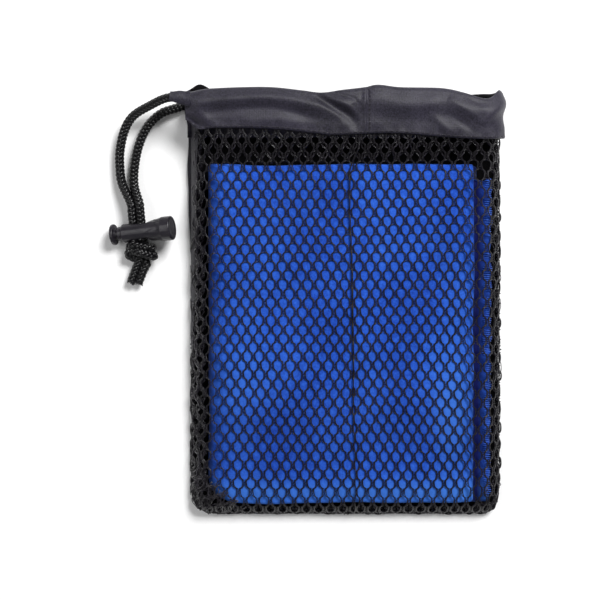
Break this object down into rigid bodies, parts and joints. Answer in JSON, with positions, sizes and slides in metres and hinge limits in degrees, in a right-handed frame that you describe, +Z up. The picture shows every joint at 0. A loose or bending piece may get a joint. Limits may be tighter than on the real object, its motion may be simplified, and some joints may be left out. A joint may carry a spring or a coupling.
{
  "type": "quick dry towel in a drawstring pouch",
  "caption": "Folded microfibre towel in a flat pouch with a knitted net front, a satin back and drawcord header, and a sprung barrel cord lock.",
  "frame": {"origin": "middle of the pouch's flat underside, on the surface it lies on", "axes": "+X to the right across the pouch, +Y from the bottom seam to the header and mouth, +Z up out of the front net"},
  "size_m": [0.179, 0.1929, 0.0239],
  "materials": {
    "net": "black warp-knitted net",
    "satin": "charcoal satin with soft sheen",
    "thread": "black sewing thread",
    "cord": "black round braid",
    "plastic": "semi-gloss charcoal moulding",
    "steel": "spring wire",
    "towel": "blue suede microfibre",
    "towel_thread": "blue overlock thread"
  },
  "bodies": {
    "pouch": {"back_panel": "satin", "net_front": "net", "header_casing": "satin", "header_stitch_front": "thread", "header_stitch_back": "thread", "header_joint_thread": "thread", "side_seam_thread_left": "thread", "side_seam_thread_right": "thread", "bottom_seam_thread": "thread", "cord_run": "cord"},
    "cord_legs": {"cord_leg_front": "cord", "cord_leg_back": "cord"},
    "cord_loop": {"cord_loop": "cord"},
    "cord_lock": {"lock_barrel": "plastic"},
    "plunger": {"lock_plunger": "plastic", "lock_spring": "steel"},
    "towel": {"towel_cloth": "towel", "towel_overlock_thread": "towel_thread"}
  },
  "joints": [
    {"name": "cord_pull", "type": "slide", "parent": "pouch", "child": "cord_legs", "axis": [-1, 0, 0], "range_m": [0, 0.04]},
    {"name": "cord_swing", "type": "hinge", "parent": "cord_legs", "child": "cord_loop", "pos_m": [-0.083, 0.0895, 0.00875], "axis": [0, 0, 1], "range_deg": [-60, 2.5]},
    {"name": "lock_slide", "type": "slide", "parent": "cord_loop", "child": "cord_lock", "axis": [-0.1045, 0.9945, 0], "range_m": [0, 0.008]},
    {"name": "plunger_press", "type": "slide", "parent": "cord_lock", "child": "plunger", "axis": [0.965, 0.1014, 0.2419], "range_m": [0, 0.003], "stiffness_N_per_m": 1500, "springref_m": -0.002, "deforming": ["lock_spring"]},
    {"name": "towel_slide", "type": "slide", "parent": "pouch", "child": "towel", "axis": [0, 0.9997, 0.0254], "range_m": [0, 0.205]}
  ]
}
